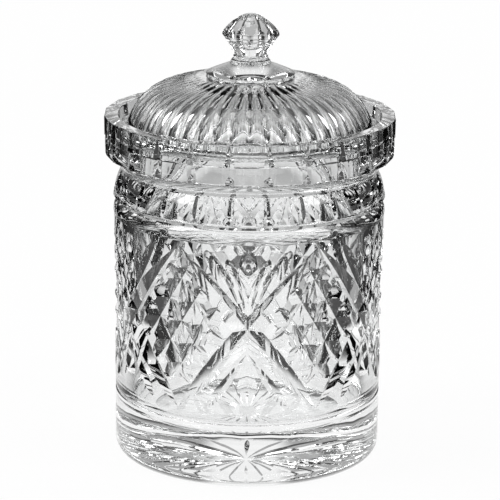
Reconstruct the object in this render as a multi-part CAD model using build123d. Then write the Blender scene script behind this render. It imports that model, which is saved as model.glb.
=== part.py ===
from build123d import *
import os
from math import asin, cos, degrees, hypot, pi, radians, sin, sqrt, tan

# A lidded biscuit jar in clear cut crystal.  All sizes in millimetres, +Z up.
# The origin is on the table under the middle of the jar; the front faces -Y.
# Angles around the jar are counted from the front, positive to the right.

# ---- jar, radii -------------------------------------------------------------
body_radius = 61.4           # widest line of the cut band
body_draft = 0.6             # lost between shoulder and foot
wall = 7.9
collar_overhang = 4.1        # the collar stands this far outside the body
collar_wall = 6.0            # upright rim around the lid
neck_inset = 3.6             # the neck is this much smaller than the body
crease_inset = 1.6           # crease between shoulder and belt
foot_inset = 3.8             # rounded lower corner
foot_bow = 0.95              # bulge of that corner
foot_land = 10.0             # width of the ring it stands on
base_groove_depth = 0.6
collar_taper = 0.5           # lost from the step line to the collar's lower edge
step_depth = 0.4

# ---- jar, heights -----------------------------------------------------------
foot_recess = 1.2
foot_round = 6.0             # table to the end of the rounded corner
base_band = 30.7             # table to the middle of the base groove
base_groove_height = 2.4
cut_band = 82.0              # base groove to the shoulder
shoulder_height = 6.1
shoulder_bow = 0.9
belt_lip = 2.8               # crease to the widest line of the belt
belt_height = 11.4           # widest line of the belt to the neck line
belt_bow = 0.7
neck_height = 7.0            # neck line to the underside of the collar
neck_bow = 1.4               # hollow of the cove under the collar
collar_height = 17.9         # underside of the collar to the rim
skirt_height = 8.3           # underside of the collar to the step line
rim_round = 0.6
floor_thickness = 22.0       # a heavy solid base
inside_corner = 12.0
seat_depth = 8.4             # rim to the ledge that carries the lid

# ---- lid --------------------------------------------------------------------
lid_side_clearance = 0.6     # flange to the inside of the collar
lid_seat_gap = 0.3           # flange to its ledge
flange_thickness = 3.0
flange_width = 3.4           # flange outside the dome
dome_rise = 23.8             # top of the flange to the crown
crown_radius = 139.0         # large arc over the dome
dome_shoulder = 24.4         # small arc where the dome turns down
dome_wall = 5.5
disc_radius = 19.9           # foot of the knob
disc_edge = 1.7              # upright edge of that disc above the dome
disc_cone = 4.4              # rise of the disc to the ring
disc_bow = 0.5
ring_radius = 9.2            # small ring on top of the disc
ring_height = 1.6
ring_bevel = 1.0
knob_neck_radius = 7.8
knob_neck_height = 1.4
knob_radius = 12.9
knob_underside = 8.7         # neck to the widest line
underside_bow = 0.45
knob_shoulder = 2.7          # widest line to the slope of the crown
knob_shoulder_inset = 1.2
knob_shoulder_bow = 0.3
knob_slope = 4.6             # height of that slope
knob_slope_bow = 0.4
knob_cap_radius = 6.4        # rounded top of the knob
knob_cap = 2.3               # its height

# ---- cut decoration ---------------------------------------------------------
crosses = 6                  # crosses around the body
cross_height = 42.3          # base groove to the middle of a cross
arm_rise = 37.5              # middle of a cross to the end of an arm
arm_width = 11.0
arm_depth = 3.4
diamond_height = 19.4        # one diamond, corner to corner
diamond_slope = 1.506        # rise of a diamond's side for each unit of arc
diamond_cut_width = 10.2
diamond_cut_depth = 2.6
diamond_cut_reach = 27.0     # middle of a cut to its end
diamond_lift = 2.0           # middle of a field above the middle of a cross
fan_gap = 4.5                # middle of a cross to the root of the upper fan
lower_fan_gap = 9.4
upper_petals = ((0, 33.0, 8.6), (17.5, 30.4, 5.2), (30, 37.5, 6.4))  # lean, length, width
lower_petals = ((0, 19.5, 9.2), (34, 31.5, 4.4))
petal_depth_share = 0.48     # depth of a petal for each unit of its width
panels = 24                  # flat panels around collar and belt
belt_notch_width = 3.3       # notch between two blocks of the belt
belt_notch_depth = 1.2
notch_width = 5.2            # notch between two panels of the collar, at its lower end
notch_depth = 1.5
corner_width = 5.0           # flare under a notch, at the collar's lower edge
corner_depth = 1.4
corner_reach = 5.0
flutes = 44                  # flutes around the dome
flute_width = 6.2
flute_depth = 1.1
crown_flute_inset = 1.1      # upper end of a flute outside the knob's disc
crown_flute_width = 4.0      # its narrow upper part, over the crown of the dome
crown_flute_depth = 0.6
crown_flute_deep = 32.0      # radius where that part has its depth
crown_flute_end = 44.0       # radius where it has run out
knob_facets = 8
facet_radius = 9.0
facet_depth = 0.9
facet_length_share = 2.4     # length of a facet's cutter for each unit of the slope
star_rays = 16               # star cut under the foot
star_eye = 3.0               # plain middle of the star
ray_width = 3.8
ray_depth = 0.9
cut_margin = 1.0             # how far a cutter runs past the surface it cuts

# ---- levels and radii worked out from the above -----------------------------
z_groove = base_band
z_shoulder = z_groove + cut_band
z_crease = z_shoulder + shoulder_height
z_belt = z_crease + belt_lip
z_neck = z_belt + belt_height
z_collar = z_neck + neck_height
z_step = z_collar + skirt_height
z_rim = z_collar + collar_height
z_seat = z_rim - seat_depth
z_cross = z_groove + cross_height
collar_radius = body_radius + collar_overhang
corner_share = 1 / cos(pi / panels)     # corner of a flat panel to its middle, from the axis
skirt_radius = collar_radius - collar_taper
base_radius = body_radius - body_draft
foot_radius = base_radius - foot_inset
recess_radius = foot_radius - foot_land
inner_radius = body_radius - wall
collar_bore = collar_radius - collar_wall
neck_radius = body_radius - neck_inset
crease_radius = body_radius - crease_inset
flange_radius = collar_bore - lid_side_clearance
dome_radius = flange_radius - flange_width
z_flange = z_seat + lid_seat_gap
z_dome = z_flange + flange_thickness
z_crown = z_dome + dome_rise


quarter_bow = 1 - sqrt(0.5)  # bulge of a quarter circle for each unit of its radius


def outline(points):
    """Closed face through the points.

    Each point is (radius, height, bow): bow is how far the stretch that ends
    at the point bulges to the right of the way the outline runs.
    """
    edges = []
    for (r0, z0, _), (r1, z1, bow) in zip(points, points[1:] + points[:1]):
        length = hypot(r1 - r0, z1 - z0)
        if bow:
            middle = ((r0 + r1) / 2 + bow * (z1 - z0) / length, (z0 + z1) / 2 - bow * (r1 - r0) / length)
            edges.append(ThreePointArc((r0, z0), middle, (r1, z1)))
        else:
            edges.append(Line((r0, z0), (r1, z1)))
    return make_face(edges)


def turned(*points):
    """Solid of revolution about the jar's axis."""
    return revolve(Plane.XZ * outline(points), Axis.Z)


def around(angle, radius, height):
    """Point beside the axis; angle in degrees from the front."""
    return Vector(radius * sin(radians(angle)), -radius * cos(radians(angle)), height)


def ring_of(shape, count, first=0.0):
    """Copies of a shape evenly spaced about the axis."""
    return [Rot(0, 0, first + 360 * i / count) * shape for i in range(count)]


def carved(blank, *groups):
    """The blank with each group of cutters taken away in turn."""
    for cutters in groups:
        blank = blank - cutters
    return blank


def v_section(width, depth):
    """Section of a V cut that is width across at the surface, with the surface at height 0."""
    top = width / 2 * (depth + cut_margin) / depth
    return Plane.YZ * make_face(Polyline((0, -depth), (top, cut_margin), (-top, cut_margin), close=True))


def curved_cut(middle, outward, along, reach, bend, width, depth):
    """A V cut whose valley is an arc; bend is its radius, positive where it bends inwards."""
    turn = 2 * degrees(asin(min(0.99, reach / abs(bend))))
    axis = Axis((0, 0, -depth - bend), (0, 1, 0))
    cutter = revolve(v_section(width, depth), axis, turn).rotate(axis, -turn / 2)
    return Plane(middle, x_dir=along, z_dir=outward) * cutter


def leaf_cut(middle, outward, along, reach, wall_drop, width, depth):
    """A V cut that is deepest at its middle and runs out at both ends, like a leaf.

    wall_drop is how far the wall falls away from the middle over the reach.
    """
    valley_drop = wall_drop - depth
    bend = (reach**2 + valley_drop**2) / (2 * valley_drop)
    return curved_cut(middle, outward, along, reach + cut_margin, bend, width, depth)


def body_cut(arc, height, arc_reach, rise, width, depth):
    """A leaf cut on the body wall; arc and arc_reach are lengths around the wall."""
    angle = degrees(arc / body_radius)
    across = body_radius * sin(arc_reach / body_radius)
    reach = hypot(across, rise)
    along = around(angle + 90, across / reach, rise / reach)
    wall_drop = body_radius - sqrt(body_radius**2 - across**2)
    middle = around(angle, body_radius, height)
    return leaf_cut(middle, around(angle, 1, 0), along, reach, wall_drop, width, depth)


def petal(root, lean, length, width):
    """One petal of a fan; root is its height, lean its angle from upright."""
    arc_reach = length / 2 * sin(radians(lean))
    rise = length / 2 * cos(radians(lean))
    return body_cut(arc_reach, root + rise, arc_reach, rise, width, width * petal_depth_share)


def cross_pattern():
    """Cutters for one repeat: a cross, its two fans and the diamonds beside it."""
    half_repeat = pi * body_radius / crosses
    cutters = [body_cut(0, z_cross, side * half_repeat, arm_rise, arm_width, arm_depth) for side in (-1, 1)]
    upper = z_cross + fan_gap
    lower = z_cross - lower_fan_gap
    for lean, length, width in upper_petals:
        for side in (-1, 1) if lean else (1,):
            cutters.append(petal(upper, side * lean, length, width))
    for lean, length, width in lower_petals:
        for side in (-1, 1) if lean else (1,):
            cutters.append(petal(lower, 180 + side * lean, length, width))
    side_length = hypot(1, diamond_slope)
    arc_reach = diamond_cut_reach / side_length
    rise = arc_reach * diamond_slope
    edge_slope = arm_rise / half_repeat
    for side in (-1, 1):
        for line in (-1, 0, 1):
            offset = line * diamond_height
            shift = -offset / (diamond_slope + edge_slope)
            middle = half_repeat + side * shift
            height = z_cross + diamond_lift + offset + diamond_slope * shift
            reach = (side * arc_reach, rise)
            cutters.append(body_cut(middle, height, *reach, diamond_cut_width, diamond_cut_depth))
    return cutters


def upright_cut(foot, head, width, depth):
    """A straight V cut up the front of a turned wall; foot and head are (radius, height)."""
    rise, lean = head[1] - foot[1], head[0] - foot[0]
    middle = Vector(0, -(foot[0] + head[0]) / 2, (foot[1] + head[1]) / 2)
    cutter = extrude(v_section(width, depth), hypot(rise, lean) / 2, both=True)
    return Plane(middle, x_dir=(0, -lean, rise), z_dir=(0, -rise, -lean)) * cutter


def flat_panels(*points):
    """Cutters that leave flat panels all around; the points bound what the front one takes away."""
    front = Plane((0, 0, 0), x_dir=(0, -1, 0), z_dir=(-1, 0, 0)) * outline(points)
    reach = collar_radius * tan(pi / panels) + cut_margin
    return ring_of(extrude(front, reach, both=True), panels)


def panel_cuts():
    """Flat panels of the collar, blocks of the belt, and the notches between them."""
    half_panel = 180 / panels
    outside = collar_radius + collar_overhang
    blocks = flat_panels(
        (outside, z_belt, 0),
        (outside, z_neck, 0),
        (neck_radius, z_neck, 0),
        (body_radius, z_belt, -belt_bow),
    )
    windows = flat_panels(
        (outside, z_collar - cut_margin, 0),
        (outside, z_rim + cut_margin, 0),
        (collar_radius, z_rim + cut_margin, 0),
        (collar_radius, z_step, 0),
        (collar_radius - step_depth, z_step, 0),
        (skirt_radius, z_collar - cut_margin, 0),
    )
    collar = upright_cut(
        (collar_radius * corner_share, z_step), (collar_radius * corner_share + notch_depth, z_rim),
        notch_width, notch_depth,
    )
    corner = leaf_cut(
        Vector(0, -skirt_radius * corner_share, z_collar), Vector(0, -1, 0), Vector(0, 0, 1),
        corner_reach, 0, corner_width, corner_depth,
    )
    belt = upright_cut(
        (body_radius * corner_share, z_belt - cut_margin), (neck_radius * corner_share, z_neck),
        belt_notch_width, belt_notch_depth,
    )
    notches = [ring_of(cutter, panels, half_panel) for cutter in (collar, corner, belt)]
    return [blocks, windows, *notches]


def star_cuts():
    """Rays of the star under the foot, from its plain middle out to the standing ring."""
    reach = (recess_radius - star_eye) / 2 - cut_margin
    ray = leaf_cut(
        Vector(0, -(recess_radius + star_eye) / 2, foot_recess), Vector(0, 0, -1), Vector(0, -1, 0),
        reach, 0, ray_width, ray_depth,
    )
    return ring_of(ray, star_rays)


def make_jar():
    groove_half = base_groove_height / 2
    collar_corner = collar_radius * corner_share
    blank = turned(
        (0, foot_recess, 0),
        (recess_radius, foot_recess, 0),
        (recess_radius, 0, 0),
        (foot_radius, 0, 0),
        (base_radius, foot_round, foot_bow),
        (base_radius, z_groove - groove_half, 0),
        (base_radius - base_groove_depth, z_groove, 0),
        (base_radius, z_groove + groove_half, 0),
        (body_radius, z_shoulder, 0),
        (crease_radius, z_crease, shoulder_bow),
        (body_radius * corner_share, z_belt, 0),
        (neck_radius * corner_share, z_neck, belt_bow),
        (skirt_radius * corner_share, z_collar, -neck_bow),
        ((collar_radius - step_depth) * corner_share, z_step, 0),
        (collar_corner, z_step, 0),
        (collar_corner, z_rim - rim_round, 0),
        (collar_corner - rim_round, z_rim, quarter_bow * rim_round),
        (collar_bore + rim_round, z_rim, 0),
        (collar_bore, z_rim - rim_round, quarter_bow * rim_round),
        (collar_bore, z_seat, 0),
        (inner_radius, z_seat, 0),
        (inner_radius, floor_thickness + inside_corner, 0),
        (inner_radius - inside_corner, floor_thickness, -quarter_bow * inside_corner),
        (0, floor_thickness, 0),
    )
    decoration = [ring_of(cutter, crosses) for cutter in cross_pattern()]
    return carved(blank, *decoration, *panel_cuts(), star_cuts())


def shoulder_centre():
    """Centre of the arc that meets the crown arc smoothly and ends on the flange."""
    crown_centre = z_crown - crown_radius
    apart = hypot(dome_radius, z_dome - crown_centre)
    inner = crown_radius - dome_shoulder
    reach = (inner**2 - dome_shoulder**2 + apart**2) / (2 * apart)
    side = sqrt(inner**2 - reach**2)
    across, up = dome_radius / apart, (z_dome - crown_centre) / apart
    return across * reach - up * side, crown_centre + up * reach + across * side


def dome_meeting(inset):
    """Where crown and shoulder arcs meet, on a line inset from the dome's outside."""
    centre = shoulder_centre()
    crown_centre = z_crown - crown_radius
    share = (crown_radius - inset) / (crown_radius - dome_shoulder)
    return centre[0] * share, crown_centre + (centre[1] - crown_centre) * share


def bow_of(radius, start, end):
    """How far an arc of this radius bulges between two points."""
    half = hypot(end[0] - start[0], end[1] - start[1]) / 2
    return radius - sqrt(radius**2 - half**2)


def dome_height(radius):
    """Height of the dome's crown arc at a radius."""
    return z_crown - crown_radius + sqrt(crown_radius**2 - radius**2)


def circle_through(a, b, c):
    """Centre of the circle through three (radius, height) points."""
    d = 2 * (a[0] * (b[1] - c[1]) + b[0] * (c[1] - a[1]) + c[0] * (a[1] - b[1]))
    squares = [p[0] ** 2 + p[1] ** 2 for p in (a, b, c)]
    across = squares[0] * (b[1] - c[1]) + squares[1] * (c[1] - a[1]) + squares[2] * (a[1] - b[1])
    up = squares[0] * (c[0] - b[0]) + squares[1] * (a[0] - c[0]) + squares[2] * (b[0] - a[0])
    return across / d, up / d


def flute_part(top, deepest, low, width, depth):
    """Cutters for flutes whose valley is an arc through three (radius, height) points of the dome."""
    path = circle_through(top, deepest, low)
    length = hypot(low[0] - top[0], low[1] - top[1])
    bend = hypot(top[0] - path[0], top[1] - path[1])
    halfway = [(a + b) / 2 - p for a, b, p in zip(top, low, path)]
    outward = [h / hypot(*halfway) for h in halfway]
    middle = [p + (bend + depth) * o for p, o in zip(path, outward)]
    cutter = curved_cut(
        Vector(0, -middle[0], middle[1]), Vector(0, -outward[0], outward[1]),
        Vector(0, -outward[1], -outward[0]), length / 2, bend, width, depth,
    )
    return ring_of(cutter, flutes)


def flute_cuts():
    """Flutes down the dome: narrow over its crown, wide over its shoulder."""
    centre = shoulder_centre()
    top = (disc_radius, dome_height(disc_radius))
    low = (dome_radius, z_dome)
    length = hypot(low[0] - top[0], low[1] - top[1])
    normal = ((top[1] - low[1]) / length, (low[0] - top[0]) / length)
    deepest = [c + (dome_shoulder - flute_depth) * n for c, n in zip(centre, normal)]
    start = disc_radius + crown_flute_inset
    share = crown_flute_deep / crown_radius
    crown_deepest = (
        crown_flute_deep - crown_flute_depth * share,
        dome_height(crown_flute_deep) - crown_flute_depth * sqrt(1 - share**2),
    )
    end = (crown_flute_end, centre[1] + sqrt(dome_shoulder**2 - (crown_flute_end - centre[0]) ** 2))
    return [
        flute_part(top, deepest, low, flute_width, flute_depth),
        flute_part((start, dome_height(start)), crown_deepest, end, crown_flute_width, crown_flute_depth),
    ]


def facet_cuts(low, top):
    """Hollow facets up the slope of the knob; low and top are the ends of that slope."""
    length = hypot(top[0] - low[0], top[1] - low[1])
    normal = ((top[1] - low[1]) / length, (low[0] - top[0]) / length)
    away = facet_radius - facet_depth
    radius = (low[0] + top[0]) / 2 + normal[0] * away
    height = (low[1] + top[1]) / 2 + normal[1] * away
    axis = Plane(Vector(0, -radius, height), z_dir=(0, -(top[0] - low[0]), top[1] - low[1]))
    return ring_of(axis * Cylinder(facet_radius, length * facet_length_share), knob_facets)


def make_lid():
    top = (disc_radius, dome_height(disc_radius))
    meet = dome_meeting(0)
    low = (dome_radius, z_dome)
    inner_shoulder = dome_shoulder - dome_wall
    centre = shoulder_centre()
    inner_low = (centre[0] + sqrt(inner_shoulder**2 - (z_dome - centre[1]) ** 2), z_dome)
    inner_meet = dome_meeting(dome_wall)
    inner_top = (0, z_crown - dome_wall)
    z_disc = top[1] + disc_edge
    z_ring = z_disc + disc_cone
    z_neck_foot = z_ring + ring_height + ring_bevel
    z_neck_head = z_neck_foot + knob_neck_height
    z_widest = z_neck_head + knob_underside
    slope_low = (knob_radius - knob_shoulder_inset, z_widest + knob_shoulder)
    slope_top = (knob_cap_radius, slope_low[1] + knob_slope)
    z_top = slope_top[1] + knob_cap
    cap_sphere = (knob_cap_radius**2 + knob_cap**2) / (2 * knob_cap)
    blank = turned(
        (inner_low[0], z_flange, 0),
        (flange_radius, z_flange, 0),
        (flange_radius, z_dome, 0),
        (*low, 0),
        (*meet, bow_of(dome_shoulder, low, meet)),
        (*top, bow_of(crown_radius, meet, top)),
        (disc_radius, z_disc, 0),
        (ring_radius, z_ring, disc_bow),
        (ring_radius, z_ring + ring_height, 0),
        (knob_neck_radius, z_neck_foot, 0),
        (knob_neck_radius, z_neck_head, 0),
        (knob_radius, z_widest, -underside_bow),
        (*slope_low, knob_shoulder_bow),
        (*slope_top, knob_slope_bow),
        (0, z_top, bow_of(cap_sphere, slope_top, (0, z_top))),
        (*inner_top, 0),
        (*inner_meet, -bow_of(crown_radius - dome_wall, inner_top, inner_meet)),
        (*inner_low, -bow_of(inner_shoulder, inner_meet, inner_low)),
    )
    return carved(blank, *flute_cuts(), facet_cuts(slope_low, slope_top))


def export(name, shape):
    """Write one piece and print what it measures."""
    size = shape.bounding_box().size
    print(f"{name}: {shape.volume / 1000:.1f} cm3, {size.X:.1f} x {size.Y:.1f} x {size.Z:.1f} mm, "
          f"{len(shape.solids())} solid, {len(shape.faces())} faces, valid {shape.is_valid}")
    export_step(shape, f"parts/{name}.step")


os.makedirs("parts", exist_ok=True)
export("jar", make_jar())
export("lid", make_lid())
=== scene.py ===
# %% [markdown]
# # A lidded biscuit jar in cut crystal
# The jar is two pieces of clear glass: a heavy body whose wall is cut with crosses, petals and diamonds,
# and a fluted lid with a faceted knob. Clear glass shows nothing but what its surfaces bend and mirror, so
# every cut has to be real geometry, with crisp edges and smooth walls between them. This lesson turns both
# pieces from an outline, cuts them as a glass cutter does, and then lights them.

# %% Load the fixed frame
import time
from math import asin, atan2, cos, hypot, pi, radians, sin, sqrt

import bmesh
import bpy
from mathutils import Matrix, Vector


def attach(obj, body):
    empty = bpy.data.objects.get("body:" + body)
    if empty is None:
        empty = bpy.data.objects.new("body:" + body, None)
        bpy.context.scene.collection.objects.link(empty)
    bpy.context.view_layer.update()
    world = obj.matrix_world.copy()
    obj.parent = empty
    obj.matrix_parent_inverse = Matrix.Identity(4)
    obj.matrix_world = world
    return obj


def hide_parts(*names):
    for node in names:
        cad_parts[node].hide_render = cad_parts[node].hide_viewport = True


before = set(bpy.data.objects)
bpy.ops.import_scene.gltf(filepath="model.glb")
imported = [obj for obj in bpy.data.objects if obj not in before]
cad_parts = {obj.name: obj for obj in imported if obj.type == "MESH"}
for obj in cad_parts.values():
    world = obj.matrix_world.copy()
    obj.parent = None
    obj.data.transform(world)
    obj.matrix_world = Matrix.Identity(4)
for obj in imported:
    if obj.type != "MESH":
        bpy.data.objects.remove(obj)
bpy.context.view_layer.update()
started = time.time()

# %% [markdown]
# ## An outline drawn with operators
# A turned piece is one outline spun about its axis. The outline could be a long list of points, but then
# nobody could tell an arc from a straight run. Here it is a chain of vertices that grows: a straight run
# extrudes the last vertex, and an arc spins it about the arc's centre. Sizes are in millimetres as (radius,
# height), which are easy to read for a small object; the finished mesh is scaled to metres at the end.

# %% Straight runs
MM = 0.001                  # a millimetre in metres


def begin_outline(radius, height):
    """A new outline with its first point; the radius lies along -Y, the front."""
    outline = bmesh.new()
    outline.verts.new((0, -radius, height))
    outline.verts.ensure_lookup_table()
    return outline


def line_to(outline, radius, height, pieces=1):
    """A straight run, in one or more equal pieces."""
    start = outline.verts[-1].co.copy()
    end = Vector((0, -radius, height))
    for i in range(pieces):
        grown = bmesh.ops.extrude_vert_indiv(outline, verts=[outline.verts[-1]])
        grown["verts"][0].co = start.lerp(end, (i + 1) / pieces)
        outline.verts.ensure_lookup_table()


# %% Arcs
def arc_to(outline, radius, height, bow, pieces):
    """An arc that bulges by bow to the right of the way the outline runs."""
    start = outline.verts[-1].co.copy()
    end = Vector((0, -radius, height))
    chord = end - start
    bend = (chord.length**2 / 4 + bow**2) / (2 * abs(bow))
    right = Vector((0, -chord.z, chord.y)).normalized()
    side = 1 if bow > 0 else -1
    centre = (start + end) / 2 - right * side * (bend - abs(bow))
    angle = 2 * asin(min(1.0, chord.length / 2 / bend))
    bmesh.ops.spin(
        outline, geom=[outline.verts[-1]], cent=centre, axis=(-side, 0, 0), angle=angle, steps=pieces,
    )
    outline.verts.ensure_lookup_table()
    outline.verts[-1].co = end


def draw(outline, runs):
    """Straight runs are (radius, height), arcs are (radius, height, bow, pieces)."""
    for run in runs:
        if len(run) == 2:
            line_to(outline, *run)
        else:
            arc_to(outline, *run)
    return outline


# %% Rounded corners
NEAR = 0.02                 # a corner is found within this distance


def soften(outline, reach, corners):
    """Rounds the named corners of an outline, as a polished edge is."""
    for radius, height in corners:
        corner = Vector((0, -radius, height))
        found = [v for v in outline.verts if (v.co - corner).length < NEAR]
        if not found:
            raise ValueError(f"no corner at {radius}, {height}")
        bmesh.ops.bevel(
            outline, geom=found, offset=reach, offset_type="OFFSET", segments=5, profile=0.5,
            affect="VERTICES", material=-1,
        )


# %% [markdown]
# ## Turning the outline
# Glass of this kind is pressed or blown into a round mould, so both blanks are true turned shapes. A Screw
# modifier could turn them, but the cuts that follow need a plain closed mesh, so one full spin makes it.
# The outline starts and ends on the axis, where all its copies meet, and a merge closes the two poles.
# Normals are recalculated after the merge, because a spin can turn a solid inside out.

# %% Turning helper
MERGE_DISTANCE = 0.0005     # in millimetres


def turn(outline, steps):
    """Spins the outline into a closed solid."""
    bmesh.ops.spin(
        outline, geom=outline.verts[:] + outline.edges[:], cent=(0, 0, 0), axis=(0, 0, 1),
        angle=2 * pi, steps=steps, use_merge=True,
    )
    bmesh.ops.remove_doubles(outline, verts=outline.verts[:], dist=MERGE_DISTANCE)
    bmesh.ops.recalc_face_normals(outline, faces=outline.faces[:])
    return outline


def make_piece(name, solid):
    """Puts a finished bmesh into a new object."""
    mesh = bpy.data.meshes.new(name)
    solid.to_mesh(mesh)
    solid.free()
    piece = bpy.data.objects.new(name, mesh)
    bpy.context.scene.collection.objects.link(piece)
    return piece


# %% [markdown]
# ## The jar's blank
# These are the sizes of the jar before it is cut. From the table up: a ring to stand on, a rounded lower
# edge, a plain band that ends in a groove, the tall wall for the pattern, a rounded shoulder, a bulging
# belt, a hollow cove, and the collar with a low step around it. A fine line is cut at the neck, between belt
# and cove, and another at the collar's step. The lid sits on a ledge inside the collar.

# %% Jar sizes
BODY_RADIUS = 61.4          # at the shoulder; the wall narrows a little down to the base
BASE_RADIUS = 60.8
FOOT_RADIUS = 57.0
RECESS_RADIUS = 47.0        # the hollow inside the standing ring
FOOT_RECESS = 1.2
FOOT_ROUND = 6.0
INNER_RADIUS = 53.5
CREASE_RADIUS = 59.8        # the crease under the belt
BEAD_RADIUS = 60.1          # where the belt's rounded lower edge starts
NECK_RADIUS = 57.8
SKIRT_RADIUS = 64.95        # the collar's lower edge
COLLAR_RADIUS = 65.44
COLLAR_BORE = 59.5
Z_GROOVE = 30.7
Z_SHOULDER = 112.7
Z_CREASE = 118.8
Z_BEAD = 119.9
Z_BELT = 121.6
Z_NECK = 133.0
Z_COLLAR = 140.0
Z_STEP = 148.3
Z_SEAT = 149.5
Z_RIM = 157.9
FLOOR_THICKNESS = 22.0
INSIDE_CORNER = 12.0
print("wall at the shoulder", round(BODY_RADIUS - INNER_RADIUS, 1), "mm, rim at", Z_RIM, "mm")

# %% Bows, lines and panels
FOOT_BOW = 0.95             # how far each arc bulges from its chord; below zero it is hollow
GROOVE_BOW = -0.12
SHOULDER_BOW = 0.9
BEAD_BOW = 0.25
BELT_BOW = 0.7
COVE_BOW = -1.4
QUARTER_BOW = 1 - sqrt(0.5)             # of a quarter circle, for each millimetre of its radius
GROOVE_HALF = 1.2           # half the width of the groove above the base band
GROOVE_DEPTH = 0.6
STEP_DEPTH = 0.4
LINE_HALF = 0.45            # half the width of the fine lines at the neck and the step
LINE_DEPTH = 0.9
LIP_ROUND = 0.5             # how far the rim's and the collar's edges are rounded
EDGE_ROUND = 0.35           # and the other edges
MIDDLE_RING = 20            # an extra ring keeps the faces of a flat disc from being long needles
WALL_PIECES = 12
JAR_STEPS = 480             # a multiple of 24 panels and of 6 crosses
PANELS = 24
CORNER_SHARE = 1 / cos(pi / PANELS)     # corner of a flat panel to its middle, from the axis


def panel_corner(radius):
    """Radius of a panel's corners, from the radius of its middle."""
    return radius * CORNER_SHARE


print("a collar panel is", round(2 * pi * COLLAR_RADIUS / PANELS, 1), "mm wide")

# %% Jar outline and blank
jar_outline = begin_outline(0, FOOT_RECESS)
draw(jar_outline, [
    (MIDDLE_RING, FOOT_RECESS),
    (RECESS_RADIUS, FOOT_RECESS),
    (RECESS_RADIUS, 0),
    (FOOT_RADIUS, 0),
    (BASE_RADIUS, FOOT_ROUND, FOOT_BOW, 14),
    (BASE_RADIUS, Z_GROOVE - GROOVE_HALF),
    (BASE_RADIUS - GROOVE_DEPTH, Z_GROOVE, GROOVE_BOW, 4),
    (BASE_RADIUS, Z_GROOVE + GROOVE_HALF, GROOVE_BOW, 4),
])
line_to(jar_outline, BODY_RADIUS, Z_SHOULDER, WALL_PIECES)
draw(jar_outline, [
    (CREASE_RADIUS, Z_CREASE, SHOULDER_BOW, 12),
    (BEAD_RADIUS, Z_BEAD),
    (panel_corner(BODY_RADIUS), Z_BELT, BEAD_BOW, 5),
    (panel_corner(NECK_RADIUS), Z_NECK - LINE_HALF, BELT_BOW, 14),
    (panel_corner(NECK_RADIUS - LINE_DEPTH), Z_NECK),
    (panel_corner(NECK_RADIUS), Z_NECK + LINE_HALF),
    (panel_corner(SKIRT_RADIUS), Z_COLLAR, COVE_BOW, 14),
    (panel_corner(COLLAR_RADIUS - STEP_DEPTH), Z_STEP - LINE_HALF),
    (panel_corner(COLLAR_RADIUS - LINE_DEPTH), Z_STEP),
    (panel_corner(COLLAR_RADIUS), Z_STEP + LINE_HALF),
    (panel_corner(COLLAR_RADIUS), Z_RIM),
    (COLLAR_BORE, Z_RIM),
    (COLLAR_BORE, Z_SEAT),
    (INNER_RADIUS, Z_SEAT),
    (INNER_RADIUS, FLOOR_THICKNESS + INSIDE_CORNER),
    (INNER_RADIUS - INSIDE_CORNER, FLOOR_THICKNESS, -QUARTER_BOW * INSIDE_CORNER, 16),
    (MIDDLE_RING, FLOOR_THICKNESS),
    (0, FLOOR_THICKNESS),
])
soften(jar_outline, LIP_ROUND, [
    (panel_corner(COLLAR_RADIUS), Z_RIM), (COLLAR_BORE, Z_RIM), (panel_corner(SKIRT_RADIUS), Z_COLLAR),
])
soften(jar_outline, EDGE_ROUND, [
    (RECESS_RADIUS, FOOT_RECESS), (RECESS_RADIUS, 0), (COLLAR_BORE, Z_SEAT), (INNER_RADIUS, Z_SEAT),
    (BODY_RADIUS, Z_SHOULDER),
])
print("jar outline points", len(jar_outline.verts))
jar_solid = turn(jar_outline, JAR_STEPS)

# %% [markdown]
# ## Flat panels
# The belt and the collar aren't round: each has 24 flat faces, ground on the flat of a wheel. Large boxes
# could slice them off, but that leaves the solver many near-parallel faces. The blank already has the radius
# of the panels' corners, so it is enough to draw its vertices towards the axis, onto the straight line from
# one corner to the next.

# %% Press the panels flat
BELT_SLACK = 0.1            # belt and collar are told from the rest within these distances
NECK_SLACK = 0.5
COLLAR_SLACK = 0.7


def in_panels(radius, height):
    """Whether a point of the outside belongs to the belt's blocks or to the collar."""
    under_neck = Z_NECK - LINE_HALF + BELT_SLACK
    on_belt = Z_BELT - BELT_SLACK <= height < under_neck and radius > NECK_RADIUS - NECK_SLACK
    return on_belt or (height > Z_COLLAR - COLLAR_SLACK and radius > SKIRT_RADIUS - COLLAR_SLACK)


flattened = 0
for v in jar_solid.verts:
    if in_panels(hypot(v.co.x, v.co.y), v.co.z):
        aside = (atan2(v.co.x, -v.co.y) * PANELS / (2 * pi) + 0.5) % 1 - 0.5
        share = 1 / (CORNER_SHARE * cos(aside * 2 * pi / PANELS))
        v.co.x *= share
        v.co.y *= share
        flattened += 1
print("vertices moved onto flat panels", flattened)
jar = make_piece("cut_jar", jar_solid)
print("jar blank faces", len(jar.data.polygons))

# %% [markdown]
# ## Cutting with a wheel
# A glass cutter presses the wall against a spinning wheel with a V edge. Each cut is a groove with two flat
# sides that is deep in the middle and runs out to nothing at its ends. A displacement map would round its
# edges off, and glass shows that at once, so each groove is really cut. Its cutter is a triangle that is
# spun about the jar's axis while it climbs, so that it follows the round wall like a screw thread.
# Afterwards each section is moved outwards where the cut is shallower, which makes it narrower there too.

# %% Depths along a cut
BLUNT_TIP = 0.25            # the smaller, the blunter the end of a petal
POINTED_TIP = 0.6
BLUNT_FROM = 0.8            # petals that are widest beyond this share of their length end bluntly


def body_wall(height):
    """Radius of the cut wall at a height."""
    return BASE_RADIUS + (BODY_RADIUS - BASE_RADIUS) * (height - Z_GROOVE) / (Z_SHOULDER - Z_GROOVE)


def leaf(t):
    """Depth share of a cut that is deepest at its middle."""
    return 1 - (2 * t - 1) ** 2


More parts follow.
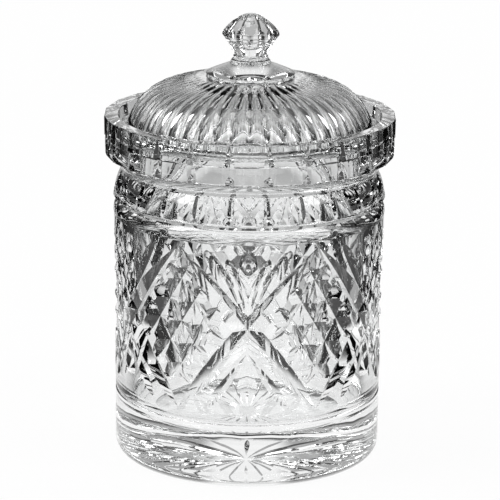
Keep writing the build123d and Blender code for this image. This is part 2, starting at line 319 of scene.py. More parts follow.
def long_cut(t):
    """Depth share of a cut that keeps its depth and runs out only near its ends."""
    return 1 - (2 * t - 1) ** 6


def petal_shape(widest):
    """Depth share of a petal that starts as a point and is widest at a share of its length."""
    tip = POINTED_TIP if widest < BLUNT_FROM else BLUNT_TIP
    root = tip * widest / (1 - widest)
    most = widest**root * (1 - widest) ** tip

    def share(t):
        """Beyond its ends the share falls below zero, which lifts the cutter off the wall."""
        if not 0 < t < 1:
            return -abs(t - 0.5) + 0.4
        return t**root * (1 - t) ** tip / most

    return share


# %% One groove
OVER = 1.2                  # how far a cutter stands out of the wall
RUN_ON = 0.04               # share of its length by which a cutter runs on past each end


def wheel_cut(foot, head, width, depth, share, wall=body_wall, steps=28):
    """Cutter for one groove; foot and head are (angle from the front, height)."""
    turn_by = radians(head[0] - foot[0])
    rise = head[1] - foot[1]
    reference = wall((foot[1] + head[1]) / 2)
    # A leaning groove is wider when it is measured level, as its section lies.
    level_width = width * hypot(turn_by * reference, rise) / rise
    reach = level_width / 2 * (depth + OVER) / depth
    cutter = bmesh.new()
    top = reference + OVER
    corners = [(0, depth - reference, 0), (-reach, -top, 0), (reach, -top, 0)]
    section = cutter.faces.new([cutter.verts.new(c) for c in corners])
    start = Matrix.Rotation(radians(foot[0]) - RUN_ON * turn_by, 4, "Z")
    start.translation.z = foot[1] - RUN_ON * rise
    bmesh.ops.transform(cutter, matrix=start, verts=cutter.verts[:])
    bmesh.ops.spin(
        cutter, geom=[section, *section.edges, *section.verts], cent=(0, 0, 0), axis=(0, 0, 1),
        dvec=(0, 0, rise * (1 + 2 * RUN_ON) / steps), angle=turn_by * (1 + 2 * RUN_ON), steps=steps,
    )
    # Each section follows the wall and moves out of it where the groove is shallower.
    for v in cutter.verts:
        t = (v.co.z - foot[1]) / rise
        radius = hypot(v.co.x, v.co.y)
        wanted = radius + wall(v.co.z) - reference + depth * (1 - share(t))
        v.co.x *= wanted / radius
        v.co.y *= wanted / radius
    bmesh.ops.recalc_face_normals(cutter, faces=cutter.faces[:])
    return cutter


# %% Repeat a cutter and cut
def ring_of(cutter, count, first=0.0):
    """Turns a cutter to its first place and repeats it around the jar."""
    bmesh.ops.rotate(
        cutter, cent=(0, 0, 0), matrix=Matrix.Rotation(radians(first), 3, "Z"), verts=cutter.verts[:],
    )
    bmesh.ops.spin(
        cutter, geom=cutter.verts[:] + cutter.edges[:] + cutter.faces[:], cent=(0, 0, 0), axis=(0, 0, 1),
        angle=2 * pi * (count - 1) / count, steps=count - 1, use_duplicate=True,
    )
    return cutter


def take_away(piece, cutter, name):
    """Cuts a cutter out of a piece and leaves the result as the piece's mesh."""
    tool = make_piece("cutter", cutter)
    cut = piece.modifiers.new("cut", "BOOLEAN")
    cut.operation = "DIFFERENCE"
    cut.solver = "MANIFOLD"
    cut.object = tool
    evaluated = piece.evaluated_get(bpy.context.evaluated_depsgraph_get())
    result = bpy.data.meshes.new_from_object(evaluated)
    piece.modifiers.clear()
    old = piece.data
    piece.data = result
    bpy.data.meshes.remove(old)
    used = tool.data
    bpy.data.objects.remove(tool)
    bpy.data.meshes.remove(used)
    print("  cut", name, "leaves", len(result.polygons), "faces")


# %% [markdown]
# ## The crosses
# Six crosses go around the jar. Their arms are the widest and deepest cuts: each starts at the foot of one
# field of diamonds, passes the middle of a cross and ends at the head of the next field. One cutter could
# hold all twelve arms, but they cross each other, and a solver is faster and safer with cutters that don't.
# So all arms that lean one way are cut first, and then those that lean the other way.

# %% Cut the crosses
CROSSES = 6
HALF_REPEAT = 180 / CROSSES             # degrees from a cross to the middle of a field
Z_CROSS = Z_GROOVE + 42.3
ARM_RISE = 37.5             # how far an arm climbs from the cross's middle to its end
ARM_WIDTH = 11.0
ARM_DEPTH = 4.0
ARM_STEPS = 56
for lean in (-1, 1):
    arm_foot = (-lean * HALF_REPEAT, Z_CROSS - ARM_RISE)
    arm_head = (lean * HALF_REPEAT, Z_CROSS + ARM_RISE)
    arm = wheel_cut(arm_foot, arm_head, ARM_WIDTH, ARM_DEPTH, leaf, steps=ARM_STEPS)
    take_away(jar, ring_of(arm, CROSSES), "cross arms")
print("faces after the crosses", len(jar.data.polygons), round(time.time() - started, 1), "s")

# %% [markdown]
# ## The fans
# Above each cross five petals spread upwards, and below it a broad bell hangs between two slender petals.
# A cutter makes them with short dips of the same wheel, the deeper the wider. So a petal is a groove as
# well: only the way its depth changes along it is different, slow from the root and quick at the tip.

# %% One petal
ARC_DEGREE = radians(1) * BODY_RADIUS   # one degree along the wall, in millimetres
PETAL_DEPTH = 0.36          # for each millimetre of a petal's width


def petal(root_height, lean, length, width, widest):
    """A petal that leans from upright by some degrees; it is cut from its lower end up."""
    arc = length * sin(radians(lean)) / ARC_DEGREE
    rise = length * cos(radians(lean))
    shape = petal_shape(widest)
    root = (0, root_height)
    tip = (arc, root_height + rise)
    if rise > 0:
        return wheel_cut(root, tip, width, PETAL_DEPTH * width, shape)
    return wheel_cut(tip, root, width, PETAL_DEPTH * width, lambda t: shape(1 - t))


# %% Cut the fans
UPPER_ROOT = Z_CROSS + 4.5
LOWER_ROOT = Z_CROSS - 9.4
UP = 0
DOWN = 180
# Each row: root height, way, length, width, place of the widest part.
MIDDLE_PETALS = (
    (UPPER_ROOT, UP, 33.0, 8.6, 0.72),
    (LOWER_ROOT, DOWN, 19.5, 9.4, 0.86),
)
# Each row: root height, way, lean to the side, length, width, place of the widest part.
SIDE_PETALS = (
    (UPPER_ROOT, UP, 17.5, 30.4, 5.2, 0.7),
    (UPPER_ROOT, UP, 30.0, 37.5, 6.4, 0.7),
    (LOWER_ROOT, DOWN, 34.0, 31.5, 4.6, 0.7),
)
fan = [petal(*values) for values in MIDDLE_PETALS]
for side in (-1, 1):
    for root_height, way, lean, *form in SIDE_PETALS:
        fan.append(petal(root_height, way + side * lean, *form))
for cutter in fan:
    take_away(jar, ring_of(cutter, CROSSES), "petals")
print("faces after the fans", len(jar.data.polygons), round(time.time() - started, 1), "s")

# %% [markdown]
# ## The diamonds
# The field between two crosses is covered with diamonds. They could be pyramids set on the wall, but on the
# real jar they are what is left standing between two families of parallel V cuts. Cutting them the same way
# gives the right slopes for nothing: because the cuts touch each other, each diamond is a small pyramid.

# %% Cut the diamonds
DIAMOND_SLOPE = 1.506       # rise of a cut for each unit along the wall
DIAMOND_HEIGHT = 19.4
DIAMOND_CUT_WIDTH = 10.9
DIAMOND_CUT_DEPTH = 3.0
DIAMOND_STEPS = 32
CUT_HALF = 22.6             # half the length of one cut
FIELD_LIFT = 2.0            # the field's middle lies this far above the crosses' middles
EDGE_SLOPE = ARM_RISE / (HALF_REPEAT * ARC_DEGREE)
for side in (-1, 1):
    for line in (-1, 0, 1):
        offset = line * DIAMOND_HEIGHT
        shift = -offset / (DIAMOND_SLOPE + EDGE_SLOPE)
        middle = HALF_REPEAT + side * shift / ARC_DEGREE
        height = Z_CROSS + FIELD_LIFT + offset + DIAMOND_SLOPE * shift
        rise = CUT_HALF * DIAMOND_SLOPE / hypot(1, DIAMOND_SLOPE)
        arc = side * rise / DIAMOND_SLOPE / ARC_DEGREE
        groove = wheel_cut(
            (middle - arc, height - rise), (middle + arc, height + rise),
            DIAMOND_CUT_WIDTH, DIAMOND_CUT_DEPTH, long_cut, steps=DIAMOND_STEPS,
        )
        take_away(jar, ring_of(groove, CROSSES), "diamond lines")
print("faces after the diamonds", len(jar.data.polygons), round(time.time() - started, 1), "s")

# %% [markdown]
# ## Belt and collar
# The belt is a row of 24 blocks with a V notch between each pair. The same 24 lines run on over the collar:
# above its step a V bar stands between each pair of panels and widens downwards, and at the collar's lower
# edge a short cut flares out at each corner. All three are grooves of the same wheel, upright this time, so
# the helper for the body's wall is reused with the walls of the belt and the collar.

# %% Walls of the belt and the collar
HALF_PANEL = 180 / PANELS


def belt_wall(height):
    """Radius of the belt's corners at a height."""
    share = (height - Z_BELT) / (Z_NECK - Z_BELT)
    flat = BODY_RADIUS + (NECK_RADIUS - BODY_RADIUS) * share + BELT_BOW * 4 * share * (1 - share)
    return panel_corner(flat)


def collar_wall(height):
    """Radius of the collar's corners, the same at every height."""
    return panel_corner(COLLAR_RADIUS)


def fading(t):
    """Depth share of a cut that is deepest at its foot."""
    return 1 - t


# %% Cut the belt and the collar
NOTCH_WIDTH = 3.4
NOTCH_DEPTH = 1.3
NOTCH_FOOT = 1.4            # a notch starts this far above the belt's lower edge
NOTCH_HEAD = 0.8            # and ends this far above the neck
BAR_WIDTH = 6.4
BAR_DEPTH = 2.2
BAR_HEAD = 0.5              # a bar's cut runs out this far above the rim
FLARE_WIDTH = 6.2
FLARE_DEPTH = 2.0
FLARE_HALF = 5              # half its height
NOTCH = (NOTCH_WIDTH, NOTCH_DEPTH, long_cut, belt_wall, 16)
BAR = (BAR_WIDTH, BAR_DEPTH, fading, collar_wall, 12)
FLARE = (FLARE_WIDTH, FLARE_DEPTH, leaf, collar_wall, 16)
for name, foot, head, form in (
    ("belt notches", Z_BELT + NOTCH_FOOT, Z_NECK + NOTCH_HEAD, NOTCH),
    ("collar bars", Z_STEP, Z_RIM + BAR_HEAD, BAR),
    ("collar flares", Z_COLLAR - FLARE_HALF, Z_COLLAR + FLARE_HALF, FLARE),
):
    take_away(jar, ring_of(wheel_cut((0, foot), (0, head), *form), PANELS, HALF_PANEL), name)
print("faces after the belt and collar", len(jar.data.polygons), round(time.time() - started, 1), "s")

# %% [markdown]
# ## The star under the foot
# Heavy crystal nearly always has a star cut into the underside. It can't be seen directly from the front,
# but the thick floor and the plain band above the foot are full of its broken reflections. A texture could
# hint at them, but only real rays bend the light the right way. A ray's cutter is a triangle pushed from the
# middle outwards, by a spin without a turn; it is deep halfway and runs out at both ends. Neighbouring rays
# touch, so every second ray is cut first and the others after them.

# %% One ray
STAR_RAYS = 36
STAR_RADIUS = 45.0
STAR_DEPTH = 0.7
STAR_EYE = 1.5              # radius at which the rays start
RAY_REACH = 5.0             # half the width of the cutter below the foot, at the star's edge
RAY_END = 1.5               # how far the cutter runs on past the star's edge
RAY_RUN_OUT = 0.1           # the cutter's crest sinks this far out of the glass at both ends
RAY_STEPS = 16


def star_ray():
    """Cutter for one ray, along -Y."""
    cutter = bmesh.new()
    length = STAR_RADIUS + RAY_END - STAR_EYE
    corners = [(-RAY_REACH, -STAR_EYE, 0), (RAY_REACH, -STAR_EYE, 0), (0, -STAR_EYE, 1)]
    section = cutter.faces.new([cutter.verts.new(c) for c in corners])
    bmesh.ops.spin(
        cutter, geom=[section, *section.edges, *section.verts], cent=(0, 0, 0), axis=(0, 0, 1),
        dvec=(0, -length / RAY_STEPS, 0), angle=0, steps=RAY_STEPS,
    )
    for v in cutter.verts:
        along = -v.co.y / STAR_RADIUS
        on_crest = v.co.z > 0.5
        if on_crest:
            v.co.z = FOOT_RECESS + STAR_DEPTH * leaf(along) - RAY_RUN_OUT
        else:
            v.co.x *= along
            v.co.z = -OVER
    bmesh.ops.recalc_face_normals(cutter, faces=cutter.faces[:])
    return cutter


# %% Cut the star
for first in (0, 360 / STAR_RAYS):
    take_away(jar, ring_of(star_ray(), STAR_RAYS // 2, first), "star rays")
print("faces after the star", len(jar.data.polygons), round(time.time() - started, 1), "s")

# %% [markdown]
# ## The lid's blank
# The lid is turned in the same way: a flat flange, a dome whose flat crown turns down in a tighter arc, a
# disc whose top slopes up to a ring, and the knob itself, with a hollow underneath the dome. The dome's two
# arcs have to meet without a kink, because glass would show it as a bright line. A handle curve could be
# bent until it looks right; here the place where the arcs meet is worked out from their radii instead.

# %% Lid sizes
FLANGE_RADIUS = 58.9
DOME_RADIUS = 55.5
LID_GAP = 0.3               # air under the flange
FLANGE_THICKNESS = 3.0
CROWN_RISE = 23.8
Z_FLANGE = Z_SEAT + LID_GAP
Z_DOME = Z_FLANGE + FLANGE_THICKNESS
Z_CROWN = Z_DOME + CROWN_RISE
CROWN_BEND = 139.0          # radius of the flat crown's arc
SHOULDER_BEND = 24.4        # radius of the tighter arc that turns down to the flange
DOME_WALL = 5.5
LID_STEPS = 528             # a multiple of 44 flutes and of 8 facets
print("flange's play in the collar", round(COLLAR_BORE - FLANGE_RADIUS, 2), "mm on each side")


# %% Where the dome's arcs meet
def crown_height(radius):
    """Height of the crown's arc at a radius."""
    return Z_CROWN - CROWN_BEND + sqrt(CROWN_BEND**2 - radius**2)


def shoulder_centre():
    """Centre of the arc that meets the crown smoothly and ends on the flange."""
    centre_height = Z_CROWN - CROWN_BEND
    apart = hypot(DOME_RADIUS, Z_DOME - centre_height)
    inner = CROWN_BEND - SHOULDER_BEND
    reach = (inner**2 - SHOULDER_BEND**2 + apart**2) / (2 * apart)
    side = sqrt(inner**2 - reach**2)
    out, up = DOME_RADIUS / apart, (Z_DOME - centre_height) / apart
    return out * reach - up * side, centre_height + up * reach + out * side


shoulder = shoulder_centre()


def dome_meeting(inset):
    """Where the crown's arc and the shoulder's arc meet, both moved inwards by the inset."""
    share = (CROWN_BEND - inset) / (CROWN_BEND - SHOULDER_BEND)
    return shoulder[0] * share, Z_CROWN - CROWN_BEND + (shoulder[1] - Z_CROWN + CROWN_BEND) * share


def bow_of(bend, start, end):
    """How far an arc of this radius bulges between two points."""
    half = hypot(end[0] - start[0], end[1] - start[1]) / 2
    return bend - sqrt(bend**2 - half**2)


meet = dome_meeting(0)
print("dome's arcs meet at", [round(x, 2) for x in meet])

# %% Heights of disc and knob
DISC_RADIUS = 19.9
DISC_EDGE = 1.7             # height of the disc's upright edge
DISC_SLOPE = 4.4            # how far its top slopes up to the ring
DISC_BOW = 0.08
RING_RADIUS = 9.2
RING_TOP = 8.7
RING_EDGE = 1.6
RING_HEIGHT = 2.6
KNOB_NECK = 7.8
NECK_BOW = -0.2
NECK_LENGTH = 1.4
KNOB_RADIUS = 12.9
KNOB_FLARE = 8.7            # height over which the knob widens from its neck
KNOB_BOW = -0.45
BROW_INSET = 1.2            # the facets' upright part ends in a brow, this far in
BROW_HEIGHT = 2.7
BROW_BOW = 0.3
CAP_RADIUS = 6.4            # the smooth round cap on top
CAP_HEIGHT = 7.3
CAP_BOW = 0.4
CAP_BULGE = 2.3
top = (DISC_RADIUS, crown_height(DISC_RADIUS))
z_disc = top[1] + DISC_EDGE
z_ring = z_disc + DISC_SLOPE
z_neck = z_ring + RING_HEIGHT
z_widest = z_neck + NECK_LENGTH + KNOB_FLARE
z_cap = z_widest + CAP_HEIGHT
z_top = z_cap + CAP_BULGE
print("knob's widest line at", round(z_widest, 1), "mm and its top at", round(z_top, 1), "mm")

# %% Lid outline and blank
FLANGE_ROUND = 0.4          # how far the edges of flange and ring are rounded
DISC_ROUND = 0.25           # and the corners around them
low = (DOME_RADIUS, Z_DOME)
inner_bend = SHOULDER_BEND - DOME_WALL
inner_low = (shoulder[0] + sqrt(inner_bend**2 - (Z_DOME - shoulder[1]) ** 2), Z_DOME)
inner_meet = dome_meeting(DOME_WALL)
inner_top = (0, Z_CROWN - DOME_WALL)
cap_bend = (CAP_RADIUS**2 + CAP_BULGE**2) / (2 * CAP_BULGE)
lid_outline = begin_outline(*inner_top)
draw(lid_outline, [
    (*inner_meet, -bow_of(CROWN_BEND - DOME_WALL, inner_top, inner_meet), 8),
    (*inner_low, -bow_of(inner_bend, inner_meet, inner_low), 12),
    (inner_low[0], Z_FLANGE),
    (FLANGE_RADIUS, Z_FLANGE),
    (FLANGE_RADIUS, Z_DOME),
    low,
    (*meet, bow_of(SHOULDER_BEND, low, meet), 18),
    (*top, bow_of(CROWN_BEND, meet, top), 14),
    (DISC_RADIUS, z_disc),
    (RING_RADIUS, z_ring, DISC_BOW, 5),
    (RING_TOP, z_ring + RING_EDGE),
    (KNOB_NECK, z_neck, NECK_BOW, 4),
    (KNOB_NECK, z_neck + NECK_LENGTH),
    (KNOB_RADIUS, z_widest, KNOB_BOW, 18),
    (KNOB_RADIUS - BROW_INSET, z_widest + BROW_HEIGHT, BROW_BOW, 8),
    (CAP_RADIUS, z_cap, CAP_BOW, 10),
    (0, z_top, bow_of(cap_bend, (CAP_RADIUS, z_cap), (0, z_top)), 10),
])
soften(lid_outline, FLANGE_ROUND, [
    (FLANGE_RADIUS, Z_FLANGE), (FLANGE_RADIUS, Z_DOME), (inner_low[0], Z_FLANGE),
    (RING_TOP, z_ring + RING_EDGE),
])
soften(lid_outline, DISC_ROUND, [
    (DISC_RADIUS, z_disc), (DISC_RADIUS, top[1]), (RING_RADIUS, z_ring), (DOME_RADIUS, Z_DOME),
    (KNOB_NECK, z_neck),
])
print("lid outline points", len(lid_outline.verts))
lid_solid = turn(lid_outline, LID_STEPS)

# %% [markdown]
# ## The flutes
# The dome is ground into 44 hollow flutes that meet in sharp ridges, grow narrower towards the knob and end
# there in round heads. A grinder does it with a rounded wheel. Cutting them with 44 curved tools would be
# slow, and they follow the turned surface closely, so the vertices themselves are moved inwards instead.
# The number of steps around the lid is a multiple of 44, so every ridge lies on an edge of the mesh.

# %% Grind the flutes
FLUTES = 44
FLUTE_DEPTH = 1.25          # at the flange
FLUTE_HEAD = 23.5           # radius at which the round head of a flute ends
FLUTE_HEAD_LENGTH = 9.0
DISC_MARGIN = 0.1           # the dome is told from the disc and the flange within these distances
FLANGE_MARGIN = 0.02


def across(v, count, turned_by=0.0):
    """Place of a vertex across its flute or facet: -1 and 1 on the ridges, 0 in the middle."""
    place = (atan2(v.co.x, -v.co.y) - turned_by) * count / (2 * pi)
    return 2 * (place % 1) - 1


def on_outer_dome(v, radius):
    """Whether a vertex lies on the outside of the dome, between its disc and its flange."""
    if not DISC_RADIUS + DISC_MARGIN < radius < DOME_RADIUS - FLANGE_MARGIN:
        return False
    if v.co.z < Z_DOME + FLANGE_MARGIN:
        return False
    if radius < meet[0]:
        return v.co.z > crown_height(radius) - DOME_WALL / 2
    return hypot(radius - shoulder[0], v.co.z - shoulder[1]) > SHOULDER_BEND - DOME_WALL / 2


lid_solid.normal_update()
moves = []
for v in lid_solid.verts:
    radius = hypot(v.co.x, v.co.y)
    if on_outer_dome(v, radius):
        full = FLUTE_DEPTH * radius / DOME_RADIUS
        rise = max(0.0, (FLUTE_HEAD + FLUTE_HEAD_LENGTH - radius) / FLUTE_HEAD_LENGTH)
        depth = full * (1 - across(v, FLUTES) ** 2 - rise**2)
        if depth > 0:
            moves.append((v, v.normal * -depth))
for v, move in moves:
    v.co += move
print("flute vertices", len(moves))

# %% [markdown]
# ## The knob
# The knob is ground into eight hollow facets. Those above its widest line end below it in arches, and eight
# shallower hollows under the line leave upright ribs between them. Each hollow could be cut with a
# cylinder, but two hollows would then share a ragged edge. Here every vertex is drawn towards the axis by
# the deeper of its two hollows, so they meet in one clean line, and the mesh keeps its even rows.

# %% Grind the knob
KNOB_FACETS = 8
FACET_TURN = radians(-3.0)
HOLLOW_SHARE = 0.16         # depth of a hollow for each millimetre of the knob's radius
ARCH_HEAD = 0.5             # the arches start this far above the widest line
ARCH_DROP = 4.5             # and reach down by this much
RIB_SHARE = 0.11            # depth of the hollows under the widest line, for each millimetre as well
RIB_GAP = 2                 # they end this far below the line
RIB_HEAD = 3.0              # and their round heads are this long
NECK_MARGIN = 0.2           # the hollows start this far above the neck's foot
ground = 0
for v in lid_solid.verts:
    if v.co.z < z_neck + NECK_MARGIN:
        continue
    level = 1 - across(v, KNOB_FACETS, FACET_TURN) ** 2
    below = max(0.0, (z_widest + ARCH_HEAD - v.co.z) / ARCH_DROP)
    above = max(0.0, (v.co.z - z_widest + RIB_HEAD + RIB_GAP) / RIB_HEAD)
    share = max(HOLLOW_SHARE * (level - below**2), RIB_SHARE * (level - above**2))
    if share > 0:
        v.co.x *= 1 - share
        v.co.y *= 1 - share
        ground += 1
print("vertices ground on the knob", ground)
lid = make_piece("fluted_lid", lid_solid)

# %% [markdown]
# ## Crisp edges and smooth walls
# Polished glass bends light with its exact surface, so the walls have to shade as smooth curves while every
# cut keeps its edge. A bevel on every edge would be truer to a polished cut, but it would need many more
# faces than it shows. So each edge that turns by more than a set angle is marked sharp, and all faces shade
# smooth. Points that lie close together stay apart, because a merge would tear the thin ends of the cuts
# open; only flakes without any thickness, which the solver can leave, are deleted.

# %% Finish the meshes
CREASE = radians(11)
CUBIC_CM = 1000             # cubic millimetres in a cubic centimetre


def delete_flakes(solid):
    """Deletes each pair of faces that lie back to back and touch no other face."""
    flakes = [
        face for face in solid.faces
        if len({other for edge in face.edges for other in edge.link_faces}) == 2
    ]
    bmesh.ops.delete(solid, geom=flakes, context="FACES")


def finish_mesh(piece):
    """Marks the sharp edges, smooths the faces and scales the mesh to metres."""
    solid = bmesh.new()
    solid.from_mesh(piece.data)
    delete_flakes(solid)
    sharp = 0
    for edge in solid.edges:
        edge.smooth = edge.calc_face_angle(pi) < CREASE
        sharp += not edge.smooth
    for face in solid.faces:
        face.smooth = True
    open_edges = sum(not edge.is_manifold for edge in solid.edges)
    triangles = sum(len(face.verts) - 2 for face in solid.faces)
    volume = round(solid.calc_volume(signed=True) / CUBIC_CM, 1)
    bmesh.ops.scale(solid, vec=(MM, MM, MM), verts=solid.verts[:])
    solid.to_mesh(piece.data)
    solid.free()
    print(piece.name, triangles, "triangles,", sharp, "sharp edges,", open_edges, "open edges")
    print(piece.name, volume, "cm3 of glass")


finish_mesh(jar)
finish_mesh(lid)
print("meshes done after", round(time.time() - started, 1), "s")

# %% [markdown]
# ## Crystal
# Lead crystal bends light more than window glass, which makes the cuts sparkle. It is clear and almost
# without colour. A Glass shader could do, but the Principled shader keeps its meaning in other programs. A
# pressed and ground wall is never quite flat, so a faint, slow waviness goes into the normals. Real ripples
# in the mesh would need far more faces for the same effect.

# %% Crystal material
CRYSTAL_TINT = (0.985, 0.99, 0.99, 1)
CRYSTAL_IOR = 1.54          # window glass has about 1.52
WAVE_SCALE = 70
WAVE_STRENGTH = 0.25
WAVE_HEIGHT = 0.0006        # in metres


def crystal_material():
    """Clear polished crystal with a faintly wavy surface."""
    material = bpy.data.materials.new("clear_crystal")
    material.use_nodes = True
    nodes = material.node_tree.nodes
    links = material.node_tree.links
    glass = nodes["Principled BSDF"]
    glass.inputs["Base Color"].default_value = CRYSTAL_TINT
    glass.inputs["Roughness"].default_value = 0.0
    glass.inputs["IOR"].default_value = CRYSTAL_IOR
    glass.inputs["Transmission Weight"].default_value = 1.0
    place = nodes.new("ShaderNodeTexCoord")
    slow = nodes.new("ShaderNodeTexNoise")
    slow.inputs["Scale"].default_value = WAVE_SCALE
    slow.inputs["Detail"].default_value = 1
    wave = nodes.new("ShaderNodeBump")
    wave.inputs["Strength"].default_value = WAVE_STRENGTH
    wave.inputs["Distance"].default_value = WAVE_HEIGHT
    links.new(place.outputs["Object"], slow.inputs["Vector"])
    links.new(slow.outputs["Fac"], wave.inputs["Height"])
    links.new(wave.outputs["Normal"], glass.inputs["Normal"])
    return material


# %% Put both pieces in the frame
crystal = crystal_material()
for piece, node in ((jar, "jar"), (lid, "lid")):
    piece.data.materials.clear()
    piece.data.materials.append(crystal)
    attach(piece, node)
    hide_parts(node)
    print(piece.name, "rides on", node, "in", crystal.name)

# %% [markdown]
# ## Floor
# The jar stands on a plain white floor. Lamps could light a sheet of paper, but what they do to it would
# depend on their size and distance. So the floor answers each kind of ray by itself: the camera sees nearly
# plain white with a soft shadow, and rays that come through the glass see painted light, a glowing strip of
# paper in a dim room. This painted light is brighter in front, where the lamps stand, and falls off behind
# the jar. Its dim sides are painted shade, and they draw dark lines into the cuts.

# %% Node helpers
def maths(tree, operation, *values):
    """A maths node; each value is a socket or a number. It gives back the result's socket."""
    node = tree.nodes.new("ShaderNodeMath")
    node.operation = operation
    for socket, value in zip(node.inputs, values):
        if isinstance(value, (int, float)):
            socket.default_value = value
        else:
            tree.links.new(value, socket)
    return node.outputs[0]


def soft_step(tree, value, begin, end, first=0.0, last=1.0):
    """Goes smoothly from the first level at begin to the last one at end."""
    node = tree.nodes.new("ShaderNodeMapRange")
    node.interpolation_type = "SMOOTHSTEP"
    node.inputs["From Min"].default_value = begin
    node.inputs["From Max"].default_value = end
    node.inputs["To Min"].default_value = first
    node.inputs["To Max"].default_value = last
    tree.links.new(value, node.inputs["Value"])
    return node.outputs["Result"]


def blend(tree, share, first, second):
    """The first shader where the share is 0 and the second where it is 1."""
    node = tree.nodes.new("ShaderNodeMixShader")
    tree.links.new(share, node.inputs["Fac"])
    tree.links.new(first, node.inputs[1])
    tree.links.new(second, node.inputs[2])
    return node.outputs[0]


# %% Strip of lit paper
PAPER_HALF = 0.1            # half the width of the lit paper, in metres
PAPER_SPREAD = 0.2          # how much wider it grows on each side with the distance from the jar
PAPER_FADE = 0.04           # how far its edges take to fall off
# glow of the painted light on the paper, and of the painted shade beside it
LIT_LEVEL = 0.92
DIM_LEVEL = 0.04
# Each run: where along Y it begins and ends, and the paper's share of the painted light at both places.
FRONT_RUN = (-0.15, -0.4, 1.0, 2.0)     # brighter in front, where the lamps stand
BACK_RUN = (0.15, 0.45, 1.0, 0.55)      # and darker behind the jar


def paper_level(tree, place):
    """How brightly the floor's painted light shines into the glass at each place."""
    split = tree.nodes.new("ShaderNodeSeparateXYZ")
    tree.links.new(place, split.inputs[0])
    aside = maths(tree, "ABSOLUTE", split.outputs["X"])
    away = maths(tree, "ABSOLUTE", split.outputs["Y"])
    spread = maths(tree, "MULTIPLY_ADD", away, -PAPER_SPREAD, aside)
    level = soft_step(tree, spread, PAPER_HALF, PAPER_HALF + PAPER_FADE, LIT_LEVEL, DIM_LEVEL)
    for run in (FRONT_RUN, BACK_RUN):
        level = maths(tree, "MULTIPLY", level, soft_step(tree, split.outputs["Y"], *run))
    return level


# %% Floor
PAPER_GREY = (0.86, 0.86, 0.86, 1)
WHITE = (1, 1, 1, 1)
CAMERA_SHARE = 0.96         # how much of the floor's shading is hidden from the camera
FLOOR_HALF = 6.0


def floor_material():
    """Pale floor: white with a soft shadow to the camera, and a glowing strip of painted light to the glass.
    """
    material = bpy.data.materials.new("pale_floor")
    material.use_nodes = True
    tree = material.node_tree
    tree.nodes.clear()
    paper = tree.nodes.new("ShaderNodeBsdfDiffuse")
    paper.inputs["Color"].default_value = PAPER_GREY
    white = tree.nodes.new("ShaderNodeEmission")
    white.inputs["Color"].default_value = WHITE
    place = tree.nodes.new("ShaderNodeTexCoord")
    # painted light: the floor glows by the strip's level for rays from the glass
    lit = tree.nodes.new("ShaderNodeEmission")
    tree.links.new(paper_level(tree, place.outputs["Object"]), lit.inputs["Strength"])
    rays = tree.nodes.new("ShaderNodeLightPath")
    from_glass = maths(
        tree, "MAXIMUM", rays.outputs["Is Glossy Ray"], rays.outputs["Is Transmission Ray"],
    )
    to_camera = maths(tree, "MULTIPLY", rays.outputs["Is Camera Ray"], CAMERA_SHARE)
    seen = blend(tree, from_glass, paper.outputs[0], lit.outputs[0])
    out = tree.nodes.new("ShaderNodeOutputMaterial")
    tree.links.new(blend(tree, to_camera, seen, white.outputs[0]), out.inputs["Surface"])
    return material


floor_sheet = bmesh.new()
bmesh.ops.create_grid(floor_sheet, x_segments=1, y_segments=1, size=FLOOR_HALF)
floor = make_piece("floor", floor_sheet)
floor.data.materials.append(floor_material())
print("floor", 2 * FLOOR_HALF, "m square")

# %% [markdown]
# ## Surroundings
# Glass is lit by what stands around it: a bright sweep behind that widens at its top, a large soft box at
# the left, a strip at the right, two strips at the back and a light above, all in a dark room. Lamps of
# that size would stand close and light the glass unevenly, so they are painted into the world by direction,
# as soft-edged cards. The camera itself sees plain white instead.

# %% Directions in the world
world = bpy.data.worlds.new("studio")
bpy.context.scene.world = world
world.use_nodes = True
sky = world.node_tree
sky.nodes.clear()
direction = sky.nodes.new("ShaderNodeTexCoord")
parts = sky.nodes.new("ShaderNodeSeparateXYZ")
sky.links.new(direction.outputs["Generated"], parts.inputs[0])
to_front = maths(sky, "MULTIPLY", parts.outputs["Y"], -1.0)
azimuth = maths(sky, "MULTIPLY", maths(sky, "ARCTAN2", parts.outputs["X"], to_front), 180 / pi)
elevation = maths(sky, "MULTIPLY", maths(sky, "ARCSINE", parts.outputs["Z"]), 180 / pi)


def edge_of(angle, middle, half, soft):
    """1 within half of the middle angle, falling to 0 over soft degrees."""
    off = maths(sky, "ABSOLUTE", maths(sky, "SUBTRACT", angle, middle))
    return soft_step(sky, off, half + soft / 2, half - soft / 2)


def card(azimuth_middle, azimuth_half, elevation_middle, elevation_half, soft, strength):
    """A soft-edged bright card; azimuth counts from the front, positive to the right."""
    turned_by = maths(sky, "SUBTRACT", azimuth, azimuth_middle)
    wrapped = maths(sky, "WRAP", turned_by, 180.0, -180.0)
    sideways = edge_of(wrapped, 0.0, azimuth_half, soft)
    upright = edge_of(elevation, elevation_middle, elevation_half, soft)
    return maths(sky, "MULTIPLY", maths(sky, "MULTIPLY", sideways, upright), strength)


# %% Cards
ROOM_LEVEL = 0.05
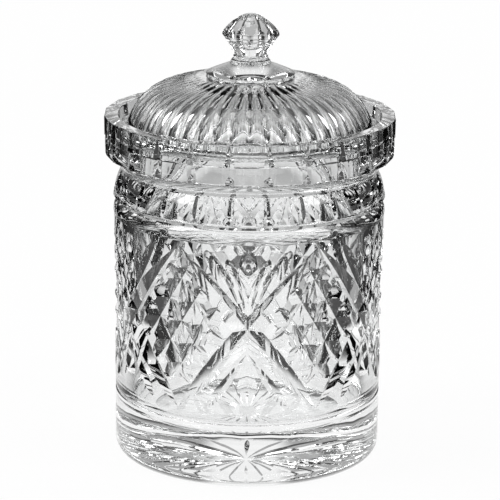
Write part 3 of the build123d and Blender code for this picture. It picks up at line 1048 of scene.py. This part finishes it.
# Each row: azimuth and half its width, elevation and half its height, soft edge, strength.
CARDS = (
    (180, 12, -10, 50, 8, 0.7),      # sweep behind the jar
    (180, 70, 19, 12, 10, 0.4),      # its wide upper part
    (-75, 14, 42, 18, 6, 9.0),       # large soft box at the left
    (63, 11, 40, 16, 4, 6.0),        # strip at the right
    (-118, 12, 42, 16, 4, 5.0),      # strip at the back left
    (118, 12, 42, 16, 4, 3.0),       # strip at the back right
    (180, 180, 86, 22, 8, 1.3),      # light from above
)
light = ROOM_LEVEL
for values in CARDS:
    light = maths(sky, "ADD", light, card(*values))
surroundings = sky.nodes.new("ShaderNodeBackground")
sky.links.new(light, surroundings.inputs["Strength"])
plain = sky.nodes.new("ShaderNodeBackground")
plain.inputs["Color"].default_value = WHITE
seen_by = sky.nodes.new("ShaderNodeLightPath")
sky_out = sky.nodes.new("ShaderNodeOutputWorld")
backdrop = blend(sky, seen_by.outputs["Is Camera Ray"], surroundings.outputs[0], plain.outputs[0])
sky.links.new(backdrop, sky_out.inputs["Surface"])
print("cards in the world", len(CARDS))

# %% [markdown]
# ## Camera
# A long lens from a little over a metre away looks down by about 15 degrees and is rolled by a little more
# than half a degree. A camera could be aimed with a constraint, but its place and its angles are known, so
# they go into its matrix directly.

# %% Camera and last steps
SENSOR_WIDTH = 36
PICTURE_WIDTH = 500         # in pixels
FOCAL_LENGTH = 2820         # in pixels of that picture
CAMERA_PLACE = (0.00063, -1.24285, 0.43589)
LOOK_DOWN = 15.389
ROLL = 0.62
lens = bpy.data.cameras.new("view")
lens.sensor_width = SENSOR_WIDTH
lens.lens = SENSOR_WIDTH * FOCAL_LENGTH / PICTURE_WIDTH
camera = bpy.data.objects.new("view", lens)
bpy.context.scene.collection.objects.link(camera)
camera.matrix_world = (
    Matrix.Translation(CAMERA_PLACE)
    @ Matrix.Rotation(radians(90 - LOOK_DOWN), 4, "X")
    @ Matrix.Rotation(radians(ROLL), 4, "Z")
)
bpy.context.scene.camera = camera
bpy.context.scene.view_settings.view_transform = "Standard"
print("lens", round(lens.lens, 1), "mm")
